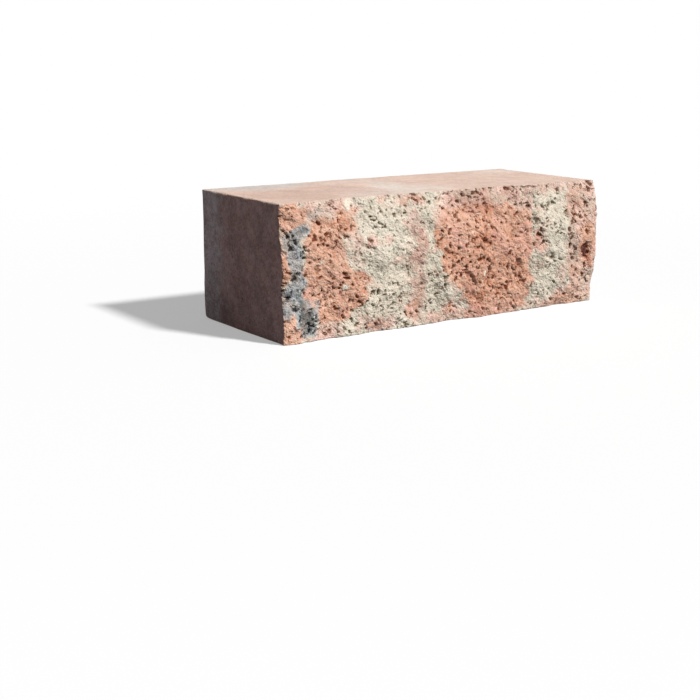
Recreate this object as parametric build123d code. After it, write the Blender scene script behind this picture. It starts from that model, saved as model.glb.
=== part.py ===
from build123d import *

# Split-face concrete wall block, in millimetres.
#
# The block is one casting. Two blocks are pressed as one twin, and the cured twin is cracked in half
# along its length, so each block has five smooth moulded faces and one rough split face.
#
# The frame: +X runs along the wall, +Y points into the wall and +Z is up. The origin is the middle of
# the lower bed, halfway between the back face and the nominal split plane. The split face looks along -Y.

import os
from math import cos, pi, radians, sin, sqrt

# The moulded block
length = 300.0  # end to end, along the wall
height = 100.0  # one course, bed to bed
depth = 115.0  # back face to the nominal split plane
arris_radius = 1.4  # worn edge between two moulded faces

# The belly of the crack: how far it stands proud of the nominal split plane at mid height
belly_left = -2.0  # at the left end, where it is hollow
belly_right = 6.2  # at the right end

# The retreat of the crack: how far its upper edge falls back from the nominal split plane
retreat_left = 5.0  # at the left end
retreat_middle = 9.0  # along the middle
retreat_right = 3.0  # past the lip, at the right
retreat_run = 45.0  # the stretch from the left end over which the retreat grows
retreat_drop = 55.0  # how far down from the upper bed the retreat reaches

# The lip, where the upper edge stays forward
lip_start = 58.0  # from mid length to its left end
lip_length = 40.0
lip_run = 16.0  # the stretch at each end of the lip over which the crack steps forward to it
lip_reach = 4.0  # how far it stands forward

# The ripples of the crack: each set is shorter and lower than the set before it, and turned from it
ripple_sets = 5
ripple_wave = 90.0  # crest to crest, in the first set
ripple_rise = 1.5  # crest above the mean surface, in the first set
ripple_shrink = 0.69  # wavelength of a set over that of the set before
ripple_fade = 0.72  # rise of a set over that of the set before
ripple_turn = 137.5  # angle between a set and the set before, in degrees
ripple_sway = 1.7  # wavelength of the bend in a set's crests, over that of the set
ripple_step = 1.9  # phase from one set to the next, in radians
ripple_softness = 0.25  # 0 gives troughs as sharp as a crease

# The main hollows, which stones left when they were torn out with the other twin: middle along the block
# and up it, half length, half width, depth, and turn of the length up from level, in degrees
hollows = [
    (138.5, 44.5, 7.5, 5.5, 3.6, 80.0),
    (116.5, 74.5, 3.0, 2.7, 2.8, 0.0),
    (99.0, 42.0, 4.5, 2.4, 2.2, -25.0),
    (84.0, 98.0, 12.0, 1.2, 2.2, 0.0),
    (83.0, 71.5, 4.2, 3.2, 2.2, -20.0),
    (68.0, 39.5, 6.0, 1.9, 2.4, -52.0),
    (34.0, 59.5, 4.5, 2.5, 2.4, 0.0),
    (20.5, 18.5, 5.1, 2.1, 2.2, 85.0),
    (18.0, 32.5, 8.0, 2.3, 2.6, -48.0),
    (-3.0, 54.0, 5.5, 1.7, 2.0, -35.0),
    (-96.0, 75.0, 5.5, 1.9, 2.4, -38.0),
    (-128.5, 20.5, 3.6, 3.0, 2.6, 40.0),
]
hollow_sides = 5
hollow_floor = 0.5  # width of a hollow at its floor, over that of its mouth
stone_rise = 2.0  # how far the torn stone stood out of its hollow, over the depth of the hollow

# How the surface of the crack is laid out
profile_spacing = 5.0  # between the level profiles that the crack is lofted through
point_spacing = 6.0  # between the points along a profile
crack_overrun = 10.0  # how far the crack runs out past the twin on each side
crack_room = 40.0  # deeper than any hollow and higher than any swell of the crack

split_plane = -depth / 2
back_plane = depth / 2
left_end = -length / 2
right_end = length / 2


def share(value, low, high):
    """Where a value lies between two limits: 0 at or before the first, 1 at or past the second."""
    return min(max((value - low) / (high - low), 0.0), 1.0)


def ease(value, low, high):
    """The same share, with a soft start and a soft end."""
    part = share(value, low, high)
    return part * part * (3 - 2 * part)


def belly(x, z):
    """The broad swell: nothing at the beds, most at mid height, and rising from left to right."""
    swell = belly_left + (belly_right - belly_left) * share(x, left_end, right_end)
    return swell * sin(pi * share(z, 0, height))


def retreat(x, z):
    """The falling back towards the upper edge: most along the middle, and least at the lip."""
    lip_end = lip_start + lip_length
    growth = ease(x, left_end, left_end + retreat_run)
    easing = ease(x, lip_start, lip_end)
    lip = ease(x, lip_start, lip_start + lip_run) * (1 - ease(x, lip_end - lip_run, lip_end))
    edge_retreat = retreat_left + (retreat_middle - retreat_left) * growth
    edge_retreat += (retreat_right - retreat_middle) * easing - lip_reach * lip
    return edge_retreat * share(z, height - retreat_drop, height) ** 2


def ripples(x, z):
    """Crossed sets of waves with bent, rounded crests and narrower troughs, as a crack leaves them."""
    mean_crest = 4 / pi * sqrt(1 + ripple_softness)
    total = 0.0
    for step in range(ripple_sets):
        wave = ripple_wave * ripple_shrink**step
        rise = ripple_rise * ripple_fade**step
        angle = radians(ripple_turn * step)
        along = x * cos(angle) + z * sin(angle)
        across = z * cos(angle) - x * sin(angle)
        bend = sin(2 * pi * across / (ripple_sway * wave) + ripple_step * step)
        phase = pi * along / wave + bend + ripple_step * step**2
        total += rise * (2 * sqrt(sin(phase) ** 2 + ripple_softness) - mean_crest)
    return total


def crack_point(x, z):
    """The point of the crack at a place along and up the block."""
    stand = belly(x, z) - retreat(x, z) + ripples(x, z)
    return Vector(x, split_plane - stand, z)


def evenly(low, high, spacing):
    """Even places from low to high, about the spacing apart."""
    count = max(round((high - low) / spacing), 1)
    return [low + (high - low) * i / count for i in range(count + 1)]


def make_crack():
    """The surface that the crack follows: a loft through level spline profiles, run out past the twin."""
    along = evenly(left_end - crack_overrun, right_end + crack_overrun, point_spacing)
    levels = evenly(-crack_overrun, height + crack_overrun, profile_spacing)
    profiles = [Wire([Edge.make_spline([crack_point(x, z) for x in along])]) for z in levels]
    return Shell.make_loft(profiles).faces()[0]


def make_stone(x, z, half_length, half_width, hollow_depth, turn):
    """The stone that left a hollow: angular, and narrower towards the floor of the hollow."""
    corners = [2 * pi * i / hollow_sides for i in range(hollow_sides)]

    def level(rise):
        """The outline at a rise above the mouth, which gains as much for each depth as the floor lacks."""
        size = 1 + (1 - hollow_floor) * rise / hollow_depth
        outline = [(size * half_length * cos(a), size * half_width * sin(a)) for a in corners]
        return Pos(0, 0, rise) * make_face(Polyline(*outline, close=True))

    stone = loft([level(-hollow_depth), level(stone_rise * hollow_depth)], ruled=True)
    mouth = Plane(crack_point(x, z), x_dir=(cos(radians(turn)), 0, sin(radians(turn))), z_dir=(0, -1, 0))
    return mouth * stone


def make_casting():
    """The moulded concrete, from the back face to past the split plane, with its moulded arrises worn."""
    front_plane = split_plane - crack_room
    middle = (back_plane + front_plane) / 2
    stock = Pos(0, middle, height / 2) * Box(length, back_plane - front_plane, height)
    front_edges = stock.faces().sort_by(Axis.Y)[0].edges()
    worn = [edge for edge in stock.edges() if edge not in front_edges]
    return fillet(worn, arris_radius)


def make_wall_block():
    """The casting behind the crack. What lies in front of the crack went with the other twin."""
    other_twin = Solid.extrude(make_crack(), Vector(0, -depth - crack_room, 0))
    halves = make_casting() - other_twin
    split = halves.solids().sort_by(SortBy.VOLUME)[-1]
    torn = split - [make_stone(*hollow) for hollow in hollows]
    return torn.solids().sort_by(SortBy.VOLUME)[-1]


os.makedirs("parts", exist_ok=True)
wall_block = make_wall_block()
wall_block.label = "wall_block"
export_step(wall_block, "parts/wall_block.step")
box = wall_block.bounding_box()
print("wall_block:", round(wall_block.volume / 1e6, 3), "litres, from", box.min, "to", box.max)
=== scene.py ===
"""The looks of a split-face concrete wall block: grain, voids, stones, worn arrises and colours.

Run as a script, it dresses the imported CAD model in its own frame, in metres: +X runs along the wall,
+Y points into the wall and +Z is up. The origin is the middle of the lower bed.
"""

from math import cos, pi, radians, sin
from types import SimpleNamespace

import bpy
import numpy as np
from bpy.props import FloatProperty, FloatVectorProperty, IntProperty, PointerProperty
from mathutils import Matrix, Vector


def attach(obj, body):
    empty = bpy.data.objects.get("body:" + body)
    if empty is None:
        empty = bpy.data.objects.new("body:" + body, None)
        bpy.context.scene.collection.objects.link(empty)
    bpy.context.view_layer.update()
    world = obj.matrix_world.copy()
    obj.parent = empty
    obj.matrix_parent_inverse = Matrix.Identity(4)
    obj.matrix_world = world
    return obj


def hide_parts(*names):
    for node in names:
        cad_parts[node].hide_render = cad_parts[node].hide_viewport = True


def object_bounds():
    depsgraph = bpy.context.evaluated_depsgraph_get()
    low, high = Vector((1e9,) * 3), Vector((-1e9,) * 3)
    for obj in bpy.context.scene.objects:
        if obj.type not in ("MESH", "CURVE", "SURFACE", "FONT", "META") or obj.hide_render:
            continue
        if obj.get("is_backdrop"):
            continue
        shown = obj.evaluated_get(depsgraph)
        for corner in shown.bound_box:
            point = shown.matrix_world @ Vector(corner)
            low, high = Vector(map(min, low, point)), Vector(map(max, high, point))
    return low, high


bl_info = {
    "name": "Split-Face Wall Block",
    "version": (1, 0, 0),
    "blender": (4, 5, 0),
    "location": "View3D > Sidebar > Wall Block",
    "description": "Makes a split-face concrete wall block and the stage that it stands on",
    "category": "Mesh",
}

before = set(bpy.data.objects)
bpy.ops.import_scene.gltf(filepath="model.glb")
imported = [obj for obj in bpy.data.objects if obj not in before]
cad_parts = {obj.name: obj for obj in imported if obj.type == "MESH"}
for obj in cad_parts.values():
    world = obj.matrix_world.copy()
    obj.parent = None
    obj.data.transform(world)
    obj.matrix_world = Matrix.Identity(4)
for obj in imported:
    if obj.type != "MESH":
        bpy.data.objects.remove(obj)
CAD_LOW, CAD_HIGH = (np.array(corner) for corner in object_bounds())

NODE = "wall_block"
BODY = "root"
MM = 0.001

# The moulded block, read from the frame. The origin is halfway between the back and the split plane.
LENGTH, _, HEIGHT = CAD_HIGH - CAD_LOW
BACK_PLANE = CAD_HIGH[1]
SPLIT_PLANE = -BACK_PLANE

# Rows of the mesh round the block: across each face, and across the rounding of each arris
FACE_ROWS = {"split": 148, "top": 22, "back": 10, "bottom": 8}
ARRIS_ROWS = 4
# Columns of the mesh along the block, and rings from each end's rim to its middle
COLUMNS = 426
END_RINGS = 10
# How many times an end's rim is smoothed before its rings are drawn
RIM_SMOOTHINGS = 12
# How far the split face stays inside the CAD model's box
CLEARANCE = 0.05 * MM
# The widest that wear makes an arris, over its mean radius
MOST_WEAR = 2.2

# Random lots for the noise, drawn once. A lattice point takes the one that its hash points at, and every
# use of the noise has its own seed for the hash.
LOTS = 4096
lots = np.random.default_rng(20)
SLOPES = lots.normal(size=(LOTS, 3))
SLOPES /= np.linalg.norm(SLOPES, axis=1, keepdims=True)
PLACES = lots.uniform(0.1, 0.9, size=(LOTS, 3))
DRAWS = lots.uniform(size=LOTS)
CUBE = np.array([[i, j, k] for i in (0, 1) for j in (0, 1) for k in (0, 1)])
NEIGHBOURS = np.array([[i, j, k] for i in (-1, 0, 1) for j in (-1, 0, 1) for k in (-1, 0, 1)])

# Patches of coloured concrete on the split face, in millimetres: middle along the block, middle up it,
# half length, half height, turn of the length in degrees, and the share of the grains that it colours
PATCHES = {
    "rose": [
        (-127, 91, 22, 12, 0, 0.8),
        (-103, 94, 16, 8, 0, 0.8),
        (-87, 90, 7, 5, 0, 0.9),
        (-150, 66, 9, 26, 0, 1),
        (-148, 29, 6, 10, 0, 1),
        (-117, 6, 18, 9, 0, 0.9),
        (-68, 6, 14, 6, 0, 0.9),
        (-36, 95, 14, 5, 0, 0.8),
        (-73, 67, 6, 6, 0, 0.8),
        (-87, 70, 8, 16, 20, 0.6),
        (-82, 42, 8, 9, 0, 0.7),
        (-30, 62, 9, 26, 0, 0.65),
        (-32, 22, 10, 20, 0, 0.85),
        (-15, 3, 12, 5, 0, 0.9),
        (2, 7, 11, 7, 0, 0.9),
        (-2, 83, 13, 12, 0, 0.7),
        (34, 92, 44, 12, 0, 0.95),
        (67, 87, 18, 16, 0, 0.9),
        (100, 99, 30, 4, 0, 0.9),
        (45, 3, 46, 7, 0, 0.8),
        (89, 59, 7, 12, 0, 0.8),
        (136, 50, 18, 70, 0, 1),
        (122, 4, 34, 9, 0, 0.9),
    ],
    "red": [
        (-111, 61, 18, 26, 0, 1),
        (-100, 36, 22, 17, -16, 1),
        (-105, 21, 14, 12, 0, 1),
        (-95, 82, 8, 10, 0, 0.72),
        (-117, 38, 14, 16, 40, 1),
        (-140, 91, 15, 11, 0, 1),
        (-147, 7, 15, 14, -20, 1),
        (-114, 10, 12, 8, 0, 0.3),
        (-150, 52, 6, 11, 0, 0.9),
        (19, 62, 33, 22, -8, 1),
        (2, 45, 13, 14, 0, 1),
        (13, 31, 14, 10, -40, 1),
        (33, 20, 20, 17, 0, 1),
        (55, 16, 22, 13, 0, 1),
        (44, 5, 34, 7, 0, 0.75),
        (40, 34, 40, 23, -8, 1),
        (63, 51, 20, 22, 0, 1),
        (59, 72, 21, 13, -10, 0.9),
        (-2, 82, 11, 8, 0, 0.6),
        (32, 80, 26, 8, 0, 0.7),
        (140, 50, 10, 20, 0, 0.75),
        (130, 22, 12, 24, 0, 0.45),
        (130, 83, 11, 20, 0, 0.4),
        (-34, 14, 7, 10, 0, 0.5),
        (-86, 90, 5, 4, 0, 0.6),
        (-33, 95, 5, 3, 0, 0.7),
        (1, 7, 7, 5, 0, 0.7),
        (120, 4, 30, 7, 0, 0.6),
        (88, 59, 4, 10, 0, 0.5),
        (-79, 40, 5, 6, 0, 0.6),
        (-68, 5, 9, 4, 0, 0.5),
    ],
    "slate": [
        (-136, 76, 11, 6, 25, 0.95),
        (-140, 62, 8, 14, 0, 0.95),
        (-138, 46, 7, 13, 0, 0.85),
        (-137, 32, 9, 12, 0, 0.9),
        (-131, 21, 13, 13, 10, 0.96),
        (-127, 11, 8, 8, 0, 0.95),
        (-122, 89, 5, 8, 0, 0.35),
        (-146, 28, 8, 8, 0, 0.65),
        (-112, 92, 14, 6, 0, 0.3),
    ],
}

# How far each batch fades on each side of its rim, in millimetres
RIMS = {"rose": 7, "red": 5, "slate": 4}
# How far the mixed batch reaches out of the red one, in millimetres
HALO = 13

# Places on the split face where the grain is lighter or darker than its batch, laid out like the patches.
# The first two lighter ones, along the bottom and stronger than 1, are painted light: they lift the lower
# face where it turns down from the key light
LIGHTER = [
    (122, 4, 32, 9, 0, 1.6),
    (-148, 7, 11, 12, 0, 1.85),
    (-147, 29, 6, 8, 0, 0.2),
    (-110, 45, 20, 30, 0, 0.25),
    (104, 50, 9, 46, 0, 0.3),
    (-66, 79, 12, 9, 0, 0.35),
    (134, 20, 16, 16, 0, 0.4),
    (-141, 91, 14, 10, 0, 0.3),
    (-140, 62, 6, 10, 0, 0.3),
    (-82, 92, 9, 7, 0, 0.5),
    (-92, 62, 6, 12, 0, 0.4),
    (-60, 55, 16, 16, 0, 0.25),
    (137, 60, 10, 36, 0, 0.35),
    (0, 20, 11, 8, 0, 0.4),
    (85, 15, 8, 12, 0, 0.4),
    (12, 72, 14, 9, 0, 0.35),
    (15, 33, 10, 5, 0, 0.25),
    (66, 22, 8, 12, 0, 0.3),
    (40, 5, 40, 6, 0, 0.4),
    (-80, 5, 60, 6, 0, 0.4),
]
DARKER = [
    (-130, 18, 8, 14, 15, 0.9),
    (-137, 76, 7, 5, 20, 0.3),
    (-141, 48, 4, 6, 0, 0.5),
    (36, 86, 6, 7, 0, 0.6),
    (18, 89, 7, 4, -30, 0.5),
    (-80, 43, 5, 6, 0, 0.6),
    (-12, 4, 6, 4, 0, 0.5),
    (2, 7, 6, 5, 0, 0.5),
    (36, 60, 7, 5, 0, 0.6),
    (-2, 52, 6, 5, 0, 0.4),
    (18, 33, 6, 6, 0, 0.4),
    (42, 34, 6, 10, 0, 0.3),
    (70, 32, 6, 9, 0, 0.4),
    (24, 14, 8, 12, 0, 0.4),
    (137, 44, 7, 3, -72, 2.4),
    (93, 58, 5, 7, 0, 0.5),
    (123, 60, 5, 28, 0, 0.2),
    (-74, 8, 6, 5, 0, 0.5),
    (-110, 97, 6, 4, 0, 0.5),
    (-30, 48, 9, 34, 0, 0.5),
    (32, 92, 30, 8, 0, 0.88),
    (134, 88, 8, 12, 0, 0.15),
]

# Hollows torn out of the split face, laid out like the patches, with the depth in millimetres last
HOLLOWS = [
    (138.5, 44.5, 7.5, 5.5, 80, 1.6),
    (138.5, 44.5, 5.4, 3.8, 80, 3.4),
    (116.5, 74.5, 3.0, 2.7, 0, 2.8),
    (99, 42, 4.5, 2.4, -25, 2.2),
    (84, 98, 12.0, 1.2, 0, 2.2),
    (83, 71.5, 4.2, 3.2, -20, 2.2),
    (68, 39.5, 6.0, 1.9, -52, 2.4),
    (34, 59.5, 4.5, 2.5, 0, 2.4),
    (20.5, 18.5, 5.1, 2.1, 85, 2.2),
    (18, 32.5, 8.0, 2.3, -48, 2.6),
    (-3, 54, 5.5, 1.7, -35, 2.0),
    (-96, 75, 5.5, 1.9, -38, 2.4),
    (-128.5, 20.5, 3.6, 3.0, 40, 2.6),
    (111, 61.5, 3.8, 1.4, 0, 1.6),
    (71, 27, 5.1, 1.4, -60, 2.2),
    (38, 36, 1.9, 3.4, 0, 2.4),
    (28.5, 12, 1.9, 2.5, 0, 2.0),
    (-105, 97.5, 3.4, 1.2, 0, 2.6),
    (37, 85, 2.0, 4.2, 12, 2.2),
    (20, 86, 3.4, 1.7, -30, 1.8),
    (-129.5, 80, 2.9, 1.5, 30, 2.0),
    (-78, 64.5, 5.1, 1.1, -24, 1.8),
    (-120.5, 50, 2.0, 2.7, 30, 2.2),
    (143, 93.5, 2.4, 1.9, 0, 2.6),
    (145.5, 98.5, 3.2, 1.6, 0, 2.8),
    (139.5, 39, 4.0, 1.1, 12, 2.0),
]
# Smaller pits: middle along the block, middle up it, and half width
PITS = [
    (88, 61, 1.8), (-1, 59.5, 1.6), (7, 45.5, 1.8), (12, 91, 1.5), (-138.5, 73, 1.9), (-140.5, 47.5, 1.6),
    (-73.5, 30.5, 1.7), (-97, 47, 1.9), (-88, 79.5, 1.7), (-48.5, 24, 1.4), (-104, 21, 1.8),
    (-116.5, 84.5, 1.7), (-100, 83.5, 1.6), (-117, 74, 1.4), (-112.5, 72, 1.3), (-109.5, 68, 1.4),
    (-132, 61, 1.5), (-127, 56, 1.5), (-108, 56, 1.4), (-130.5, 49, 1.5), (-116.5, 45, 1.6),
    (-108, 44, 1.5), (-100, 38, 1.4), (-91, 37.5, 1.3), (-108, 30, 1.4), (-100.5, 32, 1.4),
    (-105.5, 22, 1.5), (-93, 25, 1.4), (-91, 19.5, 1.3), (-98.5, 18.5, 1.4), (-61.5, 87.5, 1.6),
    (-54, 27, 1.3), (-8.5, 41, 1.4), (-17, 41, 1.1), (-20, 38, 1.1), (-14, 37, 1.2), (-13.5, 23.5, 1.3),
    (-17.5, 15.5, 1.2), (0.5, 70, 1.4), (8, 65.5, 1.5), (7, 56.5, 1.5), (17, 73, 1.4), (25, 62.5, 1.6),
    (39, 58, 1.6), (29.5, 46.5, 1.5), (35, 45.5, 1.7), (24.5, 33.5, 1.4), (33, 23.5, 1.5), (43, 23, 1.4),
    (36.5, 6, 1.4), (21, 5, 1.3), (50, 3, 1.3), (58.5, 48, 1.4), (74, 48, 1.4), (85, 72, 1.5),
    (77, 85.5, 1.5), (-146, 5.5, 1.7), (-135.5, 5, 1.3), (-128.5, 8, 1.9), (-122.5, 6, 1.2),
    (-109.5, 6, 1.9), (-113.5, 3.5, 1.6), (-97.5, 6, 1.6), (-87.5, 7.5, 1.5), (-79.5, 7, 1.5),
    (-77.5, 4, 1.4), (-66.5, 9, 1.3), (-70, 6, 1.3), (-93.5, 3, 1.2), (137.5, 82, 1.9), (143, 84.5, 1.3),
    (139, 79.5, 1.2), (132.5, 71.5, 1.5), (124.5, 74, 1.6), (122.5, 68.5, 1.4), (119.5, 59, 1.4),
    (118, 62.5, 1.6), (140, 58.5, 1.9), (122, 49.5, 1.8), (121.5, 47, 1.4), (125.5, 45.5, 1.4),
    (123, 41, 1.3), (124, 38, 1.5), (129.5, 36, 1.2), (124, 32, 1.2), (126.5, 25, 1.5), (140, 20, 1.8),
    (142, 17, 1.4), (133, 19, 1.3), (118, 9, 1.8), (100.5, 35, 1.4), (101, 41, 1.7), (105, 21, 1.4),
    (101.5, 16.5, 1.3), (100, 10.5, 1.3), (104, 6.5, 1.5), (128.5, 7, 1.2), (133.5, 4, 1.2),
    (144, 4.5, 1.4), (138, 3, 1.2), (111, 94.5, 1.4), (104.5, 84.5, 1.4), (100, 83, 1.3),
    (134.5, 96, 1.2), (135.5, 67, 1.3), (138, 32, 1.4), (111, 3.5, 1.2), (124, 3, 1.2), (109, 9.5, 1.2),
    (143, 93.5, 2.4), (145.5, 98.5, 2.4),
]

# Pale stones that show in the split face, laid out like the patches
PALE_STONES = [
    (-97, 36, 3.0, 1.8, 0, 1),
    (32, 34.5, 1.4, 2.6, 0, 1),
    (-90, 95, 3.4, 3.8, 0, 1),
    (-117, 56, 1.6, 1.1, 0, 1),
    (-120.5, 10, 1.5, 1.3, 0, 1),
]

# Changes of colour over the top, laid out like the patches, but along the block and into it
TOP_PATCHES = {
    "pale": [
        (-20, -18, 18, 50, -12, 0.85),
        (8, -28, 14, 24, 0, 0.7),
        (-38, 34, 28, 14, 20, 0.2),
        (130, 42, 28, 14, 0, 0.5),
        (-60, -35, 26, 10, 20, 0.3),
    ],
    "grey": [
        (-108, 48, 48, 18, 0, 0.9),
        (-60, -30, 16, 18, 30, 0.3),
        (-5, 50, 14, 10, 0, 0.3),
    ],
    "dusky": [
        (-112, -10, 32, 40, 0, 0.9),
        (-70, 0, 24, 30, 0, 0.6),
    ],
}


def length_prop(name, description, millimetres):
    """A length, whose default is given in millimetres."""
    return FloatProperty(name=name, description=description, default=millimetres * MM, unit="LENGTH")


def angle_prop(name, description, degrees):
    """An angle, whose default is given in degrees."""
    return FloatProperty(name=name, description=description, default=radians(degrees), subtype="ANGLE")


def number_prop(name, description, default):
    """A plain number or ratio."""
    return FloatProperty(name=name, description=description, default=default)


def colour_prop(name, description, red, green, blue):
    """A colour, whose default is given as screen values from 0 to 255."""
    default = tuple((value / 255) ** 2.2 for value in (red, green, blue)) + (1.0,)
    return FloatVectorProperty(
        name=name, description=description, default=default, size=4, subtype="COLOR", min=0, max=1
    )


class BlockForm(bpy.types.PropertyGroup):
    """The broad form of the split face, which repeats the CAD source's, and the wear of the arrises."""

    arris_radius: length_prop("Arris Radius", "Mean wear of an edge between two moulded faces", 1.4)
    split_arris_radius: length_prop("Split Arris Radius", "Mean wear of an edge of the split face", 0.7)
    knock_radius: length_prop("Knock Radius", "Wear of the knocked corner of the left end", 3.6)
    knock_reach: length_prop("Knock Reach", "How far the knock reaches along the arrises", 6.0)
    belly_left: length_prop("Belly Left", "How far the crack stands proud at mid height on the left", -2.0)
    belly_right: length_prop("Belly Right", "How far it stands proud at mid height on the right", 6.2)
    retreat_left: length_prop("Retreat Left", "How far the upper edge falls back at the left end", 5.0)
    retreat_middle: length_prop("Retreat Middle", "How far the upper edge falls back along the middle", 9.0)
    retreat_right: length_prop("Retreat Right", "How far the upper edge falls back past the lip", 3.0)
    retreat_run: length_prop("Retreat Run", "The stretch from the left end over which it grows", 45.0)
    retreat_drop: length_prop("Retreat Drop", "How far down from the upper bed the retreat reaches", 55.0)
    lip_start: length_prop("Lip Start", "From mid length to the lip, which stays forward", 58.0)
    lip_length: length_prop("Lip Length", "Length of the lip", 40.0)
    lip_run: length_prop("Lip Run", "The stretch at each end of the lip over which it comes forward", 16.0)
    lip_reach: length_prop("Lip Reach", "How far the lip stands forward", 4.0)
    ripple_sets: IntProperty(
        name="Ripple Sets",
        description="How many crossed sets of ripples the crack has",
        default=5,
    )
    ripple_wave: length_prop("Ripple Wave", "Crest to crest in the first set", 90.0)
    ripple_rise: length_prop("Ripple Rise", "Crest above the mean surface in the first set", 1.5)
    ripple_shrink: number_prop("Ripple Shrink", "Wavelength of a set over that of the set before", 0.69)
    ripple_fade: number_prop("Ripple Fade", "Rise of a set over that of the set before", 0.72)
    ripple_turn: angle_prop("Ripple Turn", "Angle between a set and the set before", 137.5)
    ripple_sway: number_prop("Ripple Sway", "Wavelength of the bend in crests, over the set's", 1.7)
    ripple_step: FloatProperty(
        name="Ripple Step",
        description="Phase from one set to the next",
        default=1.9,
        subtype="ANGLE",
    )
    ripple_softness: number_prop("Ripple Softness", "0 gives troughs as sharp as a crease", 0.25)


class BlockGrain(bpy.types.PropertyGroup):
    """The grain of the concrete: sizes across the surface, and heights out of it."""

    hump_size: length_prop("Hump Size", "Across a hump of the torn face", 17)
    hump_height: length_prop("Hump Height", "Rise of a hump", 1.15)
    paste_size: length_prop("Paste Size", "Across a lump of torn paste", 4.5)
    paste_height: length_prop("Paste Height", "Rise of a lump of torn paste", 0.5)
    groove_size: length_prop("Groove Size", "Across a slanting groove", 10)
    groove_depth: length_prop("Groove Depth", "Depth of a slanting groove", 0.8)
    stone_size: length_prop("Stone Size", "Across a coarse stone", 6.0)
    stone_height: length_prop("Stone Height", "Rise of a coarse stone", 0.5)
    sand_size: length_prop("Sand Size", "Across a grain of coarse sand", 2.7)
    sand_height: length_prop("Sand Height", "Rise of a grain of sand", 0.5)
    void_spacing: length_prop("Void Spacing", "From one void to the next", 2.6)
    void_depth: length_prop("Void Depth", "Depth of a void", 1.5)
    slant: angle_prop("Slant", "Fall of the grain to the right, below level", 38)
    stretch: number_prop("Stretch", "Length of a grain along the slant, over its width", 1.25)
    skin_depth: length_prop("Skin Depth", "Unevenness of a moulded face", 0.25)


class BlockColours(bpy.types.PropertyGroup):
    """The colours of the concrete."""

    cream: colour_prop("Cream", "The pale batch where it is lightest", 239, 228, 210)
    cream_deep: colour_prop("Deep Cream", "The pale batch where it is darkest", 207, 192, 172)
    cream_grey: colour_prop("Grey Cream", "The pale batch where it is greyest", 208, 200, 180)
    red: colour_prop("Red", "The red batch where it is lightest", 231, 185, 160)
    red_deep: colour_prop("Deep Red", "The red batch where it is darkest", 207, 141, 110)
    tan: colour_prop("Tan", "The red batch where it is least red", 222, 180, 157)
    flush: colour_prop("Flush", "The red batch where it is pinkest", 230, 174, 160)
    rose: colour_prop("Rose", "The mixed batch where it is lightest", 243, 208, 193)
    rose_deep: colour_prop("Deep Rose", "The mixed batch where it is darkest", 202, 158, 142)
    slate: colour_prop("Slate", "The grey batch where it is lightest", 184, 186, 187)
    slate_deep: colour_prop("Deep Slate", "The grey batch where it is darkest", 91, 96, 95)
    slate_warm: colour_prop("Warm Slate", "The grey batch where it is warmest", 198, 180, 168)
    pale_stone: colour_prop("Pale Stone", "A pale stone that shows in the split face", 246, 234, 214)
    # The colour of the darkest place, in the hollow near the right end of the split face
    hollow_dark: colour_prop("Stain", "The dark stain in a hollow of the red batch", 140, 92, 84)
    # Painted shade: the two tints below darken the voids, hollows, grooves, specks and gaps between grains,
    # as light thrown back twice; in the voids part of it is also their darker paste
    void_shade: colour_prop("Void Tint", "What a void leaves of the light", 158, 153, 147)
    void_shade_red: colour_prop("Red Void Tint", "The same, in the red batch", 169, 160, 149)
    bed: colour_prop("Bed", "The skin of the beds", 229, 200, 184)
    bed_pale: colour_prop("Pale Bed", "The skin of the beds where lime has bloomed", 236, 221, 209)
    bed_grey: colour_prop("Grey Bed", "The skin of the beds in the grey batch", 214, 204, 197)
    bed_dusky: colour_prop("Dusky Bed", "The skin of the beds in the red batch", 216, 186, 170)
    side: colour_prop("Side", "The skin of the ends and the back", 178, 146, 143)
    side_grey: colour_prop("Grey Side", "The same, in the grey batch", 198, 182, 186)


class StagePlan(bpy.types.PropertyGroup):
    """The floor, light and camera."""

    key_strength: number_prop("Key Strength", "Power of the key light", 3.9)
    key_softness: angle_prop("Key Softness", "Angle that the key light fills in the sky", 7)
    key_azimuth: angle_prop("Key Azimuth", "Where the key light stands, to the right of the front", 27.6)
    key_elevation: angle_prop("Key Elevation", "Height of the key light above the floor", 43)
    fill_strength: number_prop("Fill Strength", "Light from all round", 0.13)
    floor_bounce: number_prop("Floor Bounce", "Share of light that the floor throws back", 0.2)
    floor_glow: number_prop("Floor Glow", "Share of plain white in the floor beside the block", 0.35)
    floor_size: length_prop("Floor Size", "From the middle of the floor to its edge", 12000)
    camera_place: FloatVectorProperty(
        name="Camera Place",
        description="Where the camera stands",
        default=(-0.6276, -0.8267, 0.2118),
        unit="LENGTH",
    )
    camera_azimuth: angle_prop("Camera Azimuth", "Turn of the view to the right of straight ahead", 34.85)
    camera_elevation: angle_prop("Camera Elevation", "How far the view looks down", 13.36)
    camera_roll: angle_prop("Camera Roll", "Turn of the picture about the view", 0.21)
    camera_lens: number_prop("Camera Lens", "Focal length in millimetres", 67.47)


def share(value, low, high):
    """Where values lie between two limits: 0 at or before the first, 1 at or past the second."""
    return np.clip((value - low) / (high - low), 0, 1)


def ease(value, low, high):
    """The same share t with a soft start and a soft end: t squared times (3 minus 2t)."""
    part = share(value, low, high)
    return part * part * (3 - 2 * part)


def lattice_lot(cell, seed):
    """A whole number below LOTS for each lattice cell: its indices times large odd numbers, mixed."""
    mixed = cell[..., 0] * 73856093 ^ cell[..., 1] * 19349663 ^ cell[..., 2] * 83492791
    mixed = (mixed ^ seed * 40503) * 1274126177
    return (mixed ^ mixed >> 17) & (LOTS - 1)


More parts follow.
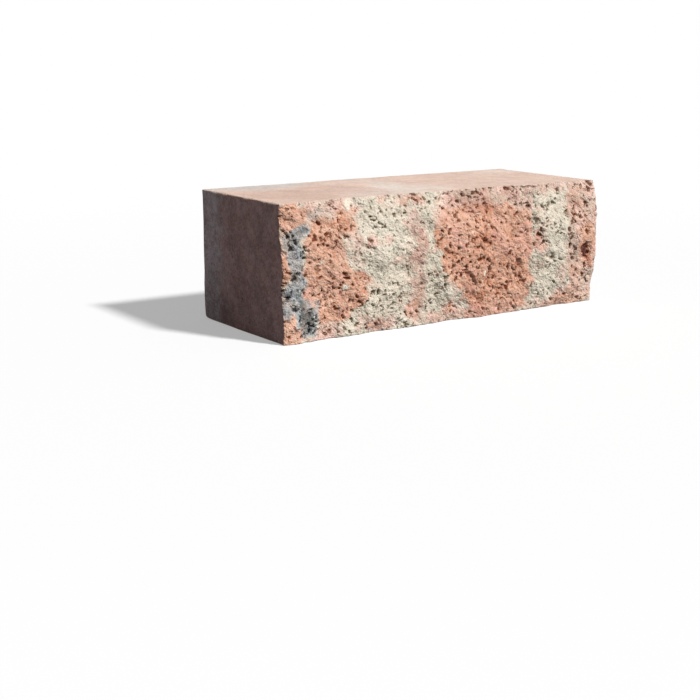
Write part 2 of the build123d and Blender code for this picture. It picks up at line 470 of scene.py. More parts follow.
def clouds(points, size, seed, octaves=1):
    """Smooth noise, about -1 to 1.

    At each corner of a cubic lattice stands a random slope. A point takes each slope times its offset
    from that corner, blended by an eased share of its place in the cube. Each octave halves both sizes.
    """
    total = np.zeros(points.shape[:-1])
    for octave in range(octaves):
        scaled = points * (2**octave / size)
        cell = np.floor(scaled).astype(np.int64)
        part = scaled - cell
        soft = part**3 * (part * (part * 6 - 15) + 10)
        for corner in CUBE:
            slope = SLOPES[lattice_lot(cell + corner, seed + octave)]
            pull = ((part - corner) * slope).sum(-1)
            total += pull * np.where(corner, soft, 1 - soft).prod(-1) * 1.8 / 2**octave
    return total


def packed(points, size, seed):
    """Packed grains: each cube of a lattice holds one grain at a random place.

    Gives each point's distance to the nearest grain over the size, and two lots that the grain drew.
    """
    scaled = points / size
    cell = np.floor(scaled).astype(np.int64)
    nearest = np.full(points.shape[:-1], 9.0)
    owner = np.zeros(points.shape[:-1], np.int64)
    for offset in NEIGHBOURS:
        there = cell + offset
        lot = lattice_lot(there, seed)
        away = np.linalg.norm(there + PLACES[lot] - scaled, axis=-1)
        owner = np.where(away < nearest, lot, owner)
        nearest = np.minimum(away, nearest)
    return nearest, DRAWS[owner], DRAWS[(owner * 7 + 1) % LOTS]


def crack_stand(x, z, form):
    """How far the crack stands proud of the nominal split plane: belly, less retreat, plus ripples.

    The belly is half a sine up the block, growing evenly from left to right. The retreat is the square
    of the share of the way up to the upper bed, and is least at the lip. Each set of ripples is twice
    the root of a squared sine plus the softness, along a line that bends with a second sine.
    """
    up = share(z, 0, HEIGHT)
    along = share(x, -LENGTH / 2, LENGTH / 2)
    belly = (form.belly_left + (form.belly_right - form.belly_left) * along) * np.sin(pi * up)
    growth = ease(x, -LENGTH / 2, -LENGTH / 2 + form.retreat_run)
    lip_end = form.lip_start + form.lip_length
    lip = ease(x, form.lip_start, form.lip_start + form.lip_run)
    lip = lip * (1 - ease(x, lip_end - form.lip_run, lip_end))
    edge_retreat = form.retreat_left + (form.retreat_middle - form.retreat_left) * growth
    edge_retreat += (form.retreat_right - form.retreat_middle) * ease(x, form.lip_start, lip_end)
    edge_retreat -= form.lip_reach * lip
    retreat = edge_retreat * share(z, HEIGHT - form.retreat_drop, HEIGHT) ** 2
    ripples = 0
    mean_crest = 4 / pi * (1 + form.ripple_softness) ** 0.5
    for step in range(form.ripple_sets):
        wave = form.ripple_wave * form.ripple_shrink**step
        rise = form.ripple_rise * form.ripple_fade**step
        angle = form.ripple_turn * step
        run = x * cos(angle) + z * sin(angle)
        across = z * cos(angle) - x * sin(angle)
        bend = np.sin(2 * pi * across / (form.ripple_sway * wave) + form.ripple_step * step)
        phase = pi * run / wave + bend + form.ripple_step * step**2
        ripples = ripples + rise * (2 * np.sqrt(np.sin(phase) ** 2 + form.ripple_softness) - mean_crest)
    return belly - retreat + ripples


def patch_share(points, patches, run_axis=0, rise_axis=2, blur=4.0):
    """How far each point is inside any of the patches, times that patch's own share.

    A patch is a turned ellipse: the root of the squared distances along and across it, each over its
    half size, is 1 on its rim. The share falls from 1 to 0 over the blur, in millimetres, on each side
    of the rim.
    """
    inside = np.zeros(points.shape[:-1])
    for run_middle, rise_middle, half_run, half_rise, turn, strength in patches:
        over = points[..., run_axis] / MM - run_middle
        up = points[..., rise_axis] / MM - rise_middle
        run = over * cos(radians(turn)) + up * sin(radians(turn))
        across = up * cos(radians(turn)) - over * sin(radians(turn))
        away = np.hypot(run / half_run, across / half_rise)
        rim = blur / min(half_run, half_rise)
        inside = np.maximum(inside, strength * ease(-away, -1 - rim, -1 + rim))
    return inside


def wander(points, size, reach, seed):
    """The points moved about by three clouds, so that what is worked out from them gets a ragged rim."""
    moves = [clouds(points, size, seed + axis, 2) for axis in range(3)]
    return points + reach * np.stack(moves, -1)


def ragged(points):
    """The points moved about as the rims of the batches are."""
    return wander(points, 13 * MM, 4.5 * MM, 81)


def slanted(points, grain, stretch):
    """The points in axes turned to the slant of the grain, with the lengths along it pressed together."""
    x, y, z = np.moveaxis(points, -1, 0)
    run = x * cos(grain.slant) - z * sin(grain.slant)
    across = z * cos(grain.slant) + x * sin(grain.slant)
    return np.stack([run / stretch, y, across], -1)


def domes(away, radius):
    """Rounded grains: 1 less the square of the distance over the radius, and 0 outside the grain."""
    return np.clip(1 - (away / radius) ** 2, 0, 1)


def torn_grain(place, moved, turned, red, grain):
    """Height of the grain of the torn surface, the lot of each grain of sand and the depth of the grooves.

    Lumps of paste are clouds. A stone is a dome, or a socket where its lot is low. A grain of sand is a
    smaller dome. A groove is where clouds drawn out along the slant cross zero: a bell curve of them. The
    grooves are nearly all in the red batch.
    """
    paste = clouds(turned, grain.paste_size, 25, 3) * grain.paste_height

    away, size_lot, rise_lot = packed(turned, grain.stone_size, 41)
    stones = domes(away, 0.35 + 0.3 * size_lot) * (1.6 * rise_lot - 0.7) * grain.stone_height

    away, lost_lot, rise_lot = packed(turned, grain.sand_size, 51)
    sand = (domes(away, 0.7) * (0.3 + 0.7 * rise_lot) - 0.35) * grain.sand_height

    lines = clouds(slanted(moved, grain, 2.4), grain.groove_size, 31, 2)
    grooved = ease(0.5 * clouds(place, 40 * MM, 32) + red, 0.4, 1.2)
    grooves = np.exp(-((lines / 0.13) ** 2)) * grooved
    return paste + stones + sand - grooves * grain.groove_depth, lost_lot, grooves


def split_relief(x, z, grain):
    """Height of the torn surface above the crack's broad form, the depth of its voids and its pebbles.

    Humps are clouds, and carry the grain. A void is an island where other clouds are high and a grain of
    sand is lost. The red batch and the darker places have more voids, and the lighter ones fewer. Hollows
    and pits are patches with ragged rims, and the hollows have a broken floor. A pebble is a patch that
    stands out.
    """
    place = np.stack([x, SPLIT_PLANE + 0 * x, z], -1)
    moved = wander(place, 7 * MM, 1.4 * MM, 11)
    rims = wander(moved, 3.2 * MM, 0.8 * MM, 15)
    turned = slanted(moved, grain, grain.stretch)
    red = patch_share(ragged(place), PATCHES["red"])
    humps = clouds(place, grain.hump_size, 21, 3) * grain.hump_height
    fine, lost_lot, grooves = torn_grain(place, moved, turned, red, grain)

    islands = 0.65 * clouds(turned, grain.void_spacing, 61, 2) + 0.8 * (lost_lot - 0.5)
    islands += 0.5 * clouds(moved, 5 * grain.void_spacing, 63, 2) * (1 - 0.45 * red)
    islands += 0.15 * patch_share(moved, DARKER) - 0.25 * patch_share(moved, LIGHTER)
    voids = ease(islands, 0.57 - 0.13 * red, 0.7 - 0.07 * red)

    hollowed = patch_share(rims, [(*hollow[:5], 1) for hollow in HOLLOWS], blur=0.8)
    broken = 0.5 + 0.5 * ease(clouds(turned, grain.void_spacing, 65, 2), -0.3, 0.2)
    torn = patch_share(rims, HOLLOWS, blur=0.8) * broken * MM
    pits = [(run, rise, half, 0.8 * half, -40, 1) for run, rise, half in PITS]
    voids = np.maximum(voids * (1 - hollowed), patch_share(rims, pits, blur=0.6))

    pebbles = patch_share(moved, PALE_STONES, blur=0.7)
    rough = humps + fine * (1 - 0.25 * hollowed)
    height = rough * (1 - pebbles * 0.7) + pebbles * 0.7 * MM
    height -= np.maximum(voids * grain.void_depth * (1 - pebbles), torn)
    # deep is how far a place lies in a void, hollow or groove, and sets the painted shade there
    deep = np.clip(np.maximum(voids, torn / (5.5 * MM)) + grooves * 0.25, 0, 1) * (1 - pebbles)
    return height, deep, pebbles


def skin_depth(points, grain):
    """Depth of the unevenness of a moulded face below its plane: clouds, never above the plane."""
    return grain.skin_depth * np.clip(0.5 + 0.8 * clouds(points, 45 * MM, 71), 0, 1)


def worn(places, radius, seed):
    """An arris radius that wanders from place to place, with a chip here and there."""
    chips = ease(clouds(places, 8 * MM, seed + 5, 2), 0.3, 0.9)
    fine = clouds(places, 17 * MM, seed, 4)
    return np.clip(radius * (1 + 0.5 * fine + 1.3 * chips), 0.3 * radius, MOST_WEAR * radius)


def knocked(radius, points, form):
    """An arris radius, drawn towards the knock's by a bell curve about the knocked corner.

    The corner is the one low at the back of the left end.
    """
    corner = np.array([-LENGTH / 2, BACK_PLANE, 0])
    near = np.exp(-(((points - corner) / form.knock_reach) ** 2).sum(-1))
    return radius + (form.knock_radius - radius) * near


def block_profiles(x, form, grain):
    """Cross-sections at places along the block: a line of rows round the block for each place.

    From the lower split arris the rows go up the split face, back over the top, down the back and
    forward under the bottom. The split face follows the crack and its relief. Each arris is a quarter
    circle. Each row has its y and z, its outward y and z, its share of the split face, the depth of the
    voids, the pebbles, its share of a worn arris, and the room that an end's arris has beside it.
    """
    x = x[:, None]
    line = np.stack([x, 0 * x, 0 * x], -1)
    lower_split = worn(line, form.split_arris_radius, 101)
    upper_split = worn(line, form.split_arris_radius, 201)
    upper_back = worn(line, form.arris_radius, 301)
    lower_back = knocked(worn(line, form.arris_radius, 401), line + [0, BACK_PLANE, 0], form)
    turn = np.arange(ARRIS_ROWS + 1)[None, :] / ARRIS_ROWS * pi / 2
    rows = []

    def front(z):
        """The split face's y at heights up the block, the depth of its voids and its pebbles."""
        height, deep, pebbles = split_relief(x + 0 * z, z, grain)
        y = SPLIT_PLANE - crack_stand(x, z, form) - height
        return np.maximum(y, CAD_LOW[1] + CLEARANCE), deep, pebbles

    def add(y, z, out_y, out_z, room, split=0, deep=0, pebbles=0, rubbed=0):
        """Adds rows, with what they carry in the order above."""
        row = np.broadcast_arrays(y, z, out_y, out_z, split, deep, pebbles, rubbed, room, x)[:-1]
        rows.append(np.stack(row, -1))

    def face(name, first, last, span):
        """Even shares along a face, and the room beside each row between the face's two arrises."""
        part = (np.arange(FACE_ROWS[name]) + 0.5)[None, :] / FACE_ROWS[name]
        return part, first + (last - first) * part + 0.4 * span * np.minimum(part, 1 - part)

    def quarter(y, z, radius, start, **carried):
        """A quarter circle about a place. It starts at an angle above +Y and turns as the rows go."""
        out_y, out_z = np.cos(start - turn), np.sin(start - turn)
        add(y + radius * out_y, z + radius * out_z, out_y, out_z, radius, **carried)

    lower_front, lower_deep, _ = front(lower_split)
    upper_front, upper_deep, _ = front(HEIGHT - upper_split)
    top_front = upper_front + upper_split
    bottom_front = lower_front + lower_split
    top_back = BACK_PLANE - upper_back
    bottom_back = BACK_PLANE - lower_back

    part, room = face("split", lower_split, upper_split, HEIGHT)
    rise = lower_split + part * (HEIGHT - upper_split - lower_split)
    y, deep, pebbles = front(rise)
    add(y, rise, -1, 0, room, split=1, deep=deep, pebbles=pebbles)
    share_left = 1 - turn / (pi / 2)
    quarter(top_front, HEIGHT - upper_split, upper_split, pi, split=share_left, deep=upper_deep)

    # The rows crowd towards the split face, where the edge of the top is ragged
    part, room = face("top", upper_split, upper_back, BACK_PLANE - SPLIT_PLANE)
    add(top_front + part**1.6 * (top_back - top_front), HEIGHT, 0, 1, room)
    quarter(top_back, HEIGHT - upper_back, upper_back, pi / 2, rubbed=1)

    part, room = face("back", upper_back, lower_back, HEIGHT)
    add(BACK_PLANE, HEIGHT - upper_back - part * (HEIGHT - upper_back - lower_back), 1, 0, room)
    quarter(bottom_back, lower_back, lower_back, 0, rubbed=1)

    part, room = face("bottom", lower_back, lower_split, BACK_PLANE - SPLIT_PLANE)
    add(bottom_back - part * (bottom_back - bottom_front), 0, 0, -1, room)
    quarter(bottom_front, lower_split, lower_split, -pi / 2, split=1 - share_left, deep=lower_deep)
    return np.moveaxis(np.concatenate(rows, 1), -1, 0)


def block_skin(form, grain):
    """Every point of the skin between the ends, ring by ring, and what its rows carry.

    The profiles are carried along the block. The last few on each side turn inwards on a quarter
    circle, whose radius is the end's arris. The moulded faces then sink by their unevenness.
    """
    half = LENGTH / 2
    flat = half - MOST_WEAR * form.arris_radius
    bend = np.linspace(0, pi / 2, ARRIS_ROWS + 2)[1:]
    past = half - form.arris_radius * (1 - np.sin(bend))
    along = np.concatenate([-past[::-1], np.linspace(-flat, flat, COLUMNS), past])
    roll = np.concatenate([-bend[::-1], np.zeros(COLUMNS), bend])[:, None]
    y, z, out_y, out_z, split, deep, pebbles, rubbed, room = block_profiles(along, form, grain)

    end = np.stack([np.full_like(y, half) * np.sign(along)[:, None], y, z], -1)
    radius = form.arris_radius + (form.split_arris_radius - form.arris_radius) * split
    radius = knocked(worn(end, 1, 501) * radius, end, form)
    radius = np.minimum(radius, np.minimum(0.75 * room, MOST_WEAR * form.arris_radius))

    # On the split face the turn goes straight back, and elsewhere in from the row's own face
    turned = np.abs(np.sin(roll))
    inset = radius * (1 - np.cos(roll))
    x = np.where(roll == 0, along[:, None] + 0 * y, np.sign(roll) * (half - radius * (1 - turned)))
    y = y - inset * (out_y - (out_y + 1) * split)
    z = z - inset * out_z * (1 - split)
    place = np.stack([x, y, z], -1)

    out = np.stack([np.sin(roll) + 0 * y, np.cos(roll) * out_y, np.cos(roll) * out_z], -1)
    sink = skin_depth(place, grain) * (1 - split * (1 - turned))
    place -= out * sink[..., None]
    open_face = split * (1 - ease(np.abs(roll), 0.5, 1.5))
    rubbed = np.maximum(rubbed, turned * (1 - split)) * (1 - (turned > 0.99))
    return place, {"split": open_face, "deep": deep * open_face, "pebble": pebbles, "worn": rubbed}


def end_cap(rim, grain, side):
    """Rings inside an end's rim, and its middle point.

    The rim is smoothed, each point by half with the mean of its two neighbours, so that the torn side's
    rings do not fold. Each ring is the smoothed rim drawn further towards the middle.
    """
    middle = (rim.max(0) + rim.min(0)) / 2
    for _ in range(RIM_SMOOTHINGS):
        rim = rim / 2 + (np.roll(rim, 1, 0) + np.roll(rim, -1, 0)) / 4
    shrink = 1 - (np.arange(1, END_RINGS) / END_RINGS)[:, None, None] ** 1.7
    rings = middle + (rim - middle) * shrink
    for place in (rings, middle):
        place[..., 0] = side * LENGTH / 2
        place[..., 0] -= side * skin_depth(place, grain)
    return rings, middle


def colour_shares(points, outward):
    """Shares of each colour on the split face, and of bloom, grey and dusk on the moulded faces.

    The mixed batch also reaches out of the red one as a halo, and shows where clouds are high. The top has
    its own patches, and the other moulded faces have clouds. The rear of the left end is grey.
    """
    moved = ragged(points)
    shares = {name: patch_share(moved, patches, blur=RIMS[name]) for name, patches in PATCHES.items()}
    halo = 0.6 * patch_share(moved, PATCHES["red"], blur=HALO)
    blush = 0.5 * ease(clouds(points, 15 * MM, 111, 2), 0.2, 0.7)
    shares["rose"] = np.maximum(shares["rose"], np.maximum(halo, blush))
    # lift: lighter places less darker ones; above 0.8, on the two strips along the bottom, it is painted
    # light
    shares["lift"] = patch_share(moved, LIGHTER, blur=5) - patch_share(moved, DARKER, blur=3)

    top = ease(outward[:, 2], 0.3, 0.8)
    left = ease(-outward[:, 0], 0.3, 0.8)
    cloudy = wander(points, 34 * MM, 7 * MM, 91)
    pale = clouds(points, 60 * MM, 95, 3)
    grey = clouds(points, 80 * MM, 97, 3)
    clouded = {"pale": ease(pale, 0.1, 0.7), "grey": ease(grey, 0.0, 0.5), "dusky": ease(-pale, 0.1, 0.7)}
    for name, patches in TOP_PATCHES.items():
        on_top = patch_share(cloudy, patches, run_axis=0, rise_axis=1, blur=8)
        shares[name] = np.where(top > 0, on_top, clouded[name])
    rear = ease(cloudy[:, 1] + 9 * MM * clouds(points, 9 * MM, 121, 2), 14 * MM, 44 * MM)
    shares["grey"] = np.where(left > 0, left * rear, shares["grey"])
    shares["bed"] = ease(np.abs(outward[:, 2]), 0.3, 0.8)
    return shares


def block_mesh(form, grain):
    """The closed mesh of the block: quads between rings, and a fan at the middle of each end."""
    skin, parts = block_skin(form, grain)
    left, left_middle = end_cap(skin[0], grain, -1)
    right, right_middle = end_cap(skin[-1], grain, 1)
    place = np.concatenate([left[::-1], skin, right])
    rings, around = place.shape[:2]
    index = np.arange(rings * around).reshape(rings, around)
    following = np.roll(index, -1, 1)
    quads = np.stack([index[:-1], index[1:], following[1:], following[:-1]], -1)
    first, last = rings * around, rings * around + 1
    left_fan = np.stack([index[0], following[0], np.full(around, first)], -1)
    right_fan = np.stack([following[-1], index[-1], np.full(around, last)], -1)
    corners = np.concatenate([quads.ravel(), left_fan.ravel(), right_fan.ravel()])
    sizes = np.concatenate([np.full(quads.size // 4, 4), np.full(2 * around, 3)])
    points = np.concatenate([place.reshape(-1, 3), [left_middle, right_middle]])

    mesh = bpy.data.meshes.new(NODE)
    mesh.vertices.add(len(points))
    mesh.vertices.foreach_set("co", points.ravel())
    mesh.loops.add(len(corners))
    mesh.loops.foreach_set("vertex_index", corners)
    mesh.polygons.add(len(sizes))
    mesh.polygons.foreach_set("loop_start", np.cumsum(sizes) - sizes)
    mesh.update(calc_edges=True)
    mesh.shade_smooth()

    outward = np.empty(points.size)
    mesh.vertex_normals.foreach_get("vector", outward)
    shares = colour_shares(points, outward.reshape(-1, 3))
    blank = np.zeros((END_RINGS - 1) * around)
    for name, value in parts.items():
        shares[name] = np.concatenate([blank, value.ravel(), blank, [0, 0]])
    for name, value in shares.items():
        mesh.attributes.new(name, "FLOAT", "POINT").data.foreach_set("value", value)
    return mesh


def add_node(tree, kind, inputs=None, **settings):
    """Adds a shader node. Each input is a socket to link from or a value, under its name or its number."""
    node = tree.nodes.new(kind)
    for name, value in settings.items():
        setattr(node, name, value)
    for name, value in (inputs or {}).items():
        if isinstance(value, bpy.types.NodeSocket):
            tree.links.new(value, node.inputs[name])
        else:
            node.inputs[name].default_value = value
    return node


def mixed(tree, factor, first, second, blend="MIX"):
    """Two colours mixed."""
    inputs = {0: factor, 6: first, 7: second}
    return add_node(tree, "ShaderNodeMix", inputs, data_type="RGBA", blend_type=blend).outputs[2]


def ranged(tree, value, low, high, to_low=0.0, to_high=1.0):
    """A value moved softly from one range to another."""
    inputs = {"Value": value, "From Min": low, "From Max": high, "To Min": to_low, "To Max": to_high}
    return add_node(tree, "ShaderNodeMapRange", inputs, interpolation_type="SMOOTHSTEP").outputs["Result"]


def reckoned(tree, operation, *values):
    """The result of one step of arithmetic."""
    return add_node(tree, "ShaderNodeMath", dict(enumerate(values)), operation=operation).outputs[0]


def weighed(tree, *terms):
    """The sum of values, each given with its weight."""
    total = 0.0
    for value, weight in terms:
        total = reckoned(tree, "MULTIPLY_ADD", value, weight, total)
    return total


def attribute(tree, name):
    """The value of a mesh attribute."""
    return add_node(tree, "ShaderNodeAttribute", attribute_name=name).outputs["Fac"]


def noise(tree, place, size, detail=2.0):
    """Noise whose widest waves are about the size across."""
    inputs = {"Vector": place, "Scale": 1 / size, "Detail": detail}
    return add_node(tree, "ShaderNodeTexNoise", inputs).outputs["Fac"]


def grains(tree, place, size):
    """Packed grains about the size across: three lots for each grain, and the distance to its middle."""
    cells = add_node(tree, "ShaderNodeTexVoronoi", {"Vector": place, "Scale": 1 / size})
    pick, tone, rare = add_node(tree, "ShaderNodeSeparateColor", {0: cells.outputs["Color"]}).outputs
    return SimpleNamespace(pick=pick, tone=tone, rare=rare, away=cells.outputs["Distance"])


def concrete_marks(tree, grain):
    """The patterns that the colours and the bump read.

    Coarse and fine grains, smears, warmth and specks lie along the slant of the torn face. Dust, drift,
    mottle and blotches are noise from sand size to patches as wide as a thumb. A pore is the middle of a
    coarse grain that drew a rare lot.
    """
    place = add_node(tree, "ShaderNodeTexCoord").outputs["Object"]
    inputs = {"Vector": place, "Rotation": (0, grain.slant, 0), "Scale": (grain.stretch, 1, 1)}
    along = add_node(tree, "ShaderNodeMapping", inputs, vector_type="TEXTURE").outputs[0]
    coarse = grains(tree, along, 2.6 * MM)
    middles = ranged(tree, coarse.away, 0.28, 0.16)
    return SimpleNamespace(
        coarse=coarse,
        fine=grains(tree, along, 1.35 * MM),
        smear=noise(tree, along, 6 * MM, 3),
        warmth=ranged(tree, noise(tree, along, 11 * MM, 3), 0.36, 0.64),
        specks=ranged(tree, noise(tree, along, 2.8 * MM, 2), 0.385, 0.315),
        dust=noise(tree, place, 1.0 * MM, 2),
        drift=noise(tree, place, 22 * MM, 3),
        mottle=weighed(tree, (noise(tree, place, 5 * MM, 3), 0.6), (noise(tree, place, 16 * MM, 3), 0.8)),
        blotches=noise(tree, place, 9 * MM, 4),
        pores=reckoned(tree, "MULTIPLY", middles, ranged(tree, coarse.rare, 0.86, 0.9)),
    )


def torn_colour(tree, colours, marks):
    """The colour of the torn concrete: four batches, one over the other, with pale stones and painted shade
    in the voids.

    A batch shows where its share beats the lots of the grains. Its colour changes from grain to grain, and
    drifts to another from place to place. Painted shade: what is deep in a void, hollow or groove, and the
    gaps between grains, take the square of their colour times a tint, as light that is thrown back twice;
    in the voids part of the darkness is also their darker paste. The specks are darkened the same way.
    """
    lots_here = weighed(tree, (marks.coarse.pick, -0.15), (marks.fine.pick, -0.05), (marks.smear, -0.8))
    grain_tone = weighed(tree, (marks.coarse.tone, 0.35), (marks.fine.tone, 0.35), (marks.dust, 0.5))
    lift = attribute(tree, "lift")
    tone = ranged(tree, weighed(tree, (grain_tone, 1), (marks.drift, 0.6), (lift, 0.45)), 0.45, 1.2)
    drifted = reckoned(tree, "MULTIPLY", marks.warmth, 0.5)
    flushed = mixed(tree, ranged(tree, marks.drift, 0.45, 0.62), colours.tan, colours.flush)

    def toned(light, deep, other):
        """A batch's colour."""
        return mixed(tree, drifted, mixed(tree, tone, deep, light), other)

    torn = toned(colours.cream, colours.cream_deep, colours.cream_grey)
    batches = {
        "rose": (colours.rose, colours.rose_deep, colours.cream_deep),
        "red": (colours.red, colours.red_deep, flushed),
        "slate": (colours.slate, colours.slate_deep, colours.slate_warm),
    }
    for name, batch in batches.items():
        shown = ranged(tree, weighed(tree, (lots_here, 1), (attribute(tree, name), 1)), -0.35, 0.2)
        torn = mixed(tree, shown, torn, toned(*batch))

    # Painted light: where the lift passes 0.8, on the two strips along the bottom, the colour is raised by
    # up to 15 percent, as if more light fell on the lower face
    torn = mixed(tree, 1.0, torn, ranged(tree, lift, 0.8, 1.8, 1.0, 1.15), "MULTIPLY")
    # Where the lift falls below -0.9, in the hollow near the right end, the colour turns to the hollow's
    # dark colour
    torn = mixed(tree, ranged(tree, lift, -0.9, -1.2), torn, colours.hollow_dark)
    bright = reckoned(tree, "MULTIPLY", ranged(tree, marks.fine.rare, 0.94, 0.96), 0.4)
    torn = mixed(tree, bright, torn, colours.pale_stone)
    pebble = attribute(tree, "pebble")
    torn = mixed(tree, pebble, torn, colours.pale_stone)

    # Painted shade: deep places and the gaps between grains, and the specks, mix towards the square of
    # their colour times a tint
    gaps = ranged(tree, marks.fine.away, 0.35, 0.75)
    dark = weighed(tree, (attribute(tree, "deep"), 1), (marks.specks, 0.65), (gaps, 0.15), (pebble, -1))
    tint = mixed(tree, attribute(tree, "red"), colours.void_shade, colours.void_shade_red)
    shaded = mixed(tree, 1.0, mixed(tree, 1.0, torn, torn, "MULTIPLY"), tint, "MULTIPLY")
    return mixed(tree, dark, torn, shaded)


def skin_colour(tree, colours, marks, torn):
    """The colour of the moulded skin: the beds with their changes, and the sides with blotches.

    Sand makes it lighter and darker, less so on the beds. On a worn arris the torn concrete shows in some
    of the grains, and the skin has pores.
    """
    bed = colours.bed
    changes = {"pale": colours.bed_pale, "dusky": colours.bed_dusky, "grey": colours.bed_grey}
    for name, changed in changes.items():
        bed = mixed(tree, attribute(tree, name), bed, changed)
    greyed = ranged(tree, weighed(tree, (attribute(tree, "grey"), 0.55), (marks.blotches, 0.9)), 0.4, 1.1)
    side = mixed(tree, greyed, colours.side, colours.side_grey)
    on_bed = attribute(tree, "bed")
    skin = mixed(tree, on_bed, side, bed)

    sandy = weighed(tree, (marks.dust, 0.5), (marks.fine.tone, 0.25), (marks.mottle, 1))
    sandy = mixed(tree, ranged(tree, sandy, 0.75, 1.4), (0.6, 0.58, 0.56, 1), (1.38, 1.38, 1.38, 1))
    sanded = reckoned(tree, "MULTIPLY_ADD", on_bed, -0.5, 0.8)
    skin = mixed(tree, sanded, skin, mixed(tree, 1.0, skin, sandy, "MULTIPLY"))

    rubbed = ranged(tree, weighed(tree, (attribute(tree, "worn"), 0.6), (marks.fine.pick, 0.5)), 0.55, 0.9)
    skin = mixed(tree, reckoned(tree, "MULTIPLY", rubbed, 0.5), skin, torn)
    return mixed(tree, reckoned(tree, "MULTIPLY", marks.pores, 0.6), skin, colours.side_grey, "MULTIPLY")


def concrete_material(colours, grain):
    """Split and moulded concrete: coloured batches on the split face, and a cement skin elsewhere."""
    material = bpy.data.materials.new("concrete")
    material.use_nodes = True
    tree = material.node_tree
    shader = tree.nodes["Principled BSDF"]
    marks = concrete_marks(tree, grain)
    torn = torn_colour(tree, colours, marks)
    skin = skin_colour(tree, colours, marks, torn)
    open_face = ranged(tree, weighed(tree, (attribute(tree, "split"), 1), (marks.dust, 0.4)), 0.45, 0.75)
    tree.links.new(mixed(tree, open_face, skin, torn), shader.inputs["Base Color"])
    shader.inputs["Roughness"].default_value = 0.93
    shader.inputs["Specular IOR Level"].default_value = 0.15

    domed = weighed(tree, (marks.fine.away, -0.6), (marks.coarse.away, -0.4))
    torn_height = weighed(tree, (domed, 1), (marks.dust, 0.6), (marks.specks, -1))
    skin_height = weighed(tree, (marks.dust, 0.35), (marks.fine.away, -0.1), (marks.pores, -0.8))
    height = add_node(tree, "ShaderNodeMix", {0: open_face, 2: skin_height, 3: torn_height})
    bump = add_node(tree, "ShaderNodeBump", {"Height": height.outputs[0], "Distance": 0.8 * MM})
    tree.links.new(bump.outputs[0], shader.inputs["Normal"])
    return material


class WALLBLOCK_OT_block(bpy.types.Operator):
    """Make the split-face concrete block in place of its CAD solid"""

    bl_idname = "wallblock.block"
    bl_label = "Make Block"

    def execute(self, context):
        scene = context.scene
        block = bpy.data.objects.new("block", block_mesh(scene.block_form, scene.block_grain))
        scene.collection.objects.link(block)
        block.data.materials.append(concrete_material(scene.block_colours, scene.block_grain))
        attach(block, BODY)
        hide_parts(NODE)
        return {"FINISHED"}


def seen_as_backdrop(tree):
    """1 for what the camera, a reflection or a clear material sees, and 0 for light on the block."""
    light = add_node(tree, "ShaderNodeLightPath").outputs
    seen = reckoned(tree, "MAXIMUM", light["Is Camera Ray"], light["Is Glossy Ray"])
    return reckoned(tree, "MAXIMUM", seen, light["Is Transmission Ray"])


def floor_material(plan):
    """Matt floor. It looks white and keeps the block's shadow, but throws back less light than white."""
    material = bpy.data.materials.new("floor")
    material.use_nodes = True
    tree = material.node_tree
    tree.nodes.clear()
    seen = seen_as_backdrop(tree)
    bounce = (plan.floor_bounce,) * 3 + (1,)
    matt = add_node(tree, "ShaderNodeBsdfDiffuse", {"Color": mixed(tree, seen, bounce, (1, 1, 1, 1))})
    place = add_node(tree, "ShaderNodeTexCoord").outputs["Object"]
    away = add_node(tree, "ShaderNodeVectorMath", {0: place}, operation="LENGTH").outputs["Value"]
    glow = ranged(tree, away, 0.3, 0.9, plan.floor_glow, 1.0)
    white = add_node(tree, "ShaderNodeEmission", {"Strength": 1.0})
    share = reckoned(tree, "MULTIPLY", glow, seen)
    both = add_node(tree, "ShaderNodeMixShader", {0: share, 1: matt.outputs[0], 2: white.outputs[0]})
    add_node(tree, "ShaderNodeOutputMaterial", {"Surface": both.outputs[0]})
    return material


def studio_world(plan):
    """Even fill from all round. The camera, gloss and glass see white."""
    world = bpy.data.worlds.new("studio")
    world.use_nodes = True
    tree = world.node_tree
    tree.nodes.clear()
    strength = ranged(tree, seen_as_backdrop(tree), 0.0, 1.0, plan.fill_strength, 1.0)
    background = add_node(tree, "ShaderNodeBackground", {"Color": (1, 1, 1, 1), "Strength": strength})
    add_node(tree, "ShaderNodeOutputWorld", {"Surface": background.outputs[0]})
    return world


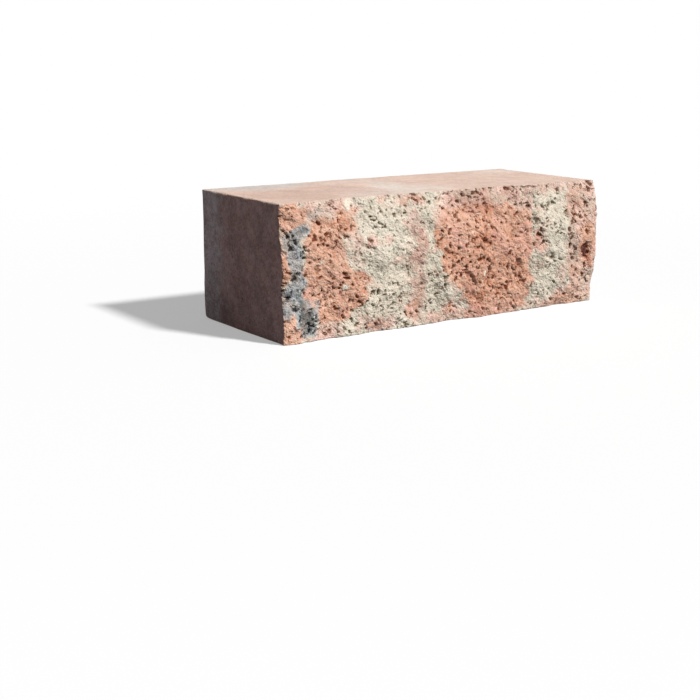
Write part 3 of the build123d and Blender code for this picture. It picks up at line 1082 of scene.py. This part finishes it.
class WALLBLOCK_OT_stage(bpy.types.Operator):
    """Make the floor, the light and the camera"""

    bl_idname = "wallblock.stage"
    bl_label = "Make Stage"

    def execute(self, context):
        scene = context.scene
        plan = scene.stage_plan
        half = plan.floor_size
        mesh = bpy.data.meshes.new("floor")
        corners = [(-half, -half, 0), (half, -half, 0), (half, half, 0), (-half, half, 0)]
        mesh.from_pydata(corners, [], [(0, 1, 2, 3)])
        mesh.materials.append(floor_material(plan))
        floor = bpy.data.objects.new("floor", mesh)
        scene.collection.objects.link(floor)
        floor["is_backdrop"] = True

        key = bpy.data.lights.new("key", "SUN")
        key.energy = plan.key_strength
        key.angle = plan.key_softness
        lamp = bpy.data.objects.new("key", key)
        turn = plan.key_azimuth
        rise = plan.key_elevation
        toward = Vector((sin(turn) * cos(rise), -cos(turn) * cos(rise), sin(rise)))
        lamp.rotation_mode = "QUATERNION"
        lamp.rotation_quaternion = toward.to_track_quat("Z", "Y")
        lamp.location = toward
        scene.collection.objects.link(lamp)
        scene.world = studio_world(plan)

        camera = bpy.data.cameras.new("camera")
        camera.lens = plan.camera_lens
        camera.clip_start = 0.01
        view = bpy.data.objects.new("camera", camera)
        down = Matrix.Rotation(pi / 2 - plan.camera_elevation, 4, "X")
        around = Matrix.Rotation(-plan.camera_azimuth, 4, "Z")
        roll = Matrix.Rotation(plan.camera_roll, 4, "Z")
        view.matrix_world = Matrix.Translation(plan.camera_place) @ around @ down @ roll
        scene.collection.objects.link(view)
        scene.camera = view
        scene.view_settings.view_transform = "Standard"
        return {"FINISHED"}


class WALLBLOCK_PT_panel(bpy.types.Panel):
    """Lists the steps and the settings of the wall block"""

    bl_idname = "WALLBLOCK_PT_panel"
    bl_label = "Wall Block"
    bl_space_type = "VIEW_3D"
    bl_region_type = "UI"
    bl_category = "Wall Block"

    def draw(self, context):
        layout = self.layout
        layout.operator(WALLBLOCK_OT_block.bl_idname)
        layout.operator(WALLBLOCK_OT_stage.bl_idname)
        for group in GROUPS:
            settings = getattr(context.scene, group)
            box = layout.box()
            box.label(text=settings.bl_rna.name)
            for name in settings.__annotations__:
                box.prop(settings, name)


GROUPS = {
    "block_form": BlockForm,
    "block_grain": BlockGrain,
    "block_colours": BlockColours,
    "stage_plan": StagePlan,
}
CLASSES = (*GROUPS.values(), WALLBLOCK_OT_block, WALLBLOCK_OT_stage, WALLBLOCK_PT_panel)


def register():
    for item in CLASSES:
        bpy.utils.register_class(item)
    for name, group in GROUPS.items():
        setattr(bpy.types.Scene, name, PointerProperty(type=group))


def unregister():
    for name in GROUPS:
        delattr(bpy.types.Scene, name)
    for item in reversed(CLASSES):
        bpy.utils.unregister_class(item)


def main():
    """Makes the block and its stage."""
    register()
    bpy.ops.wallblock.block()
    bpy.ops.wallblock.stage()


if __name__ == "__main__":
    main()
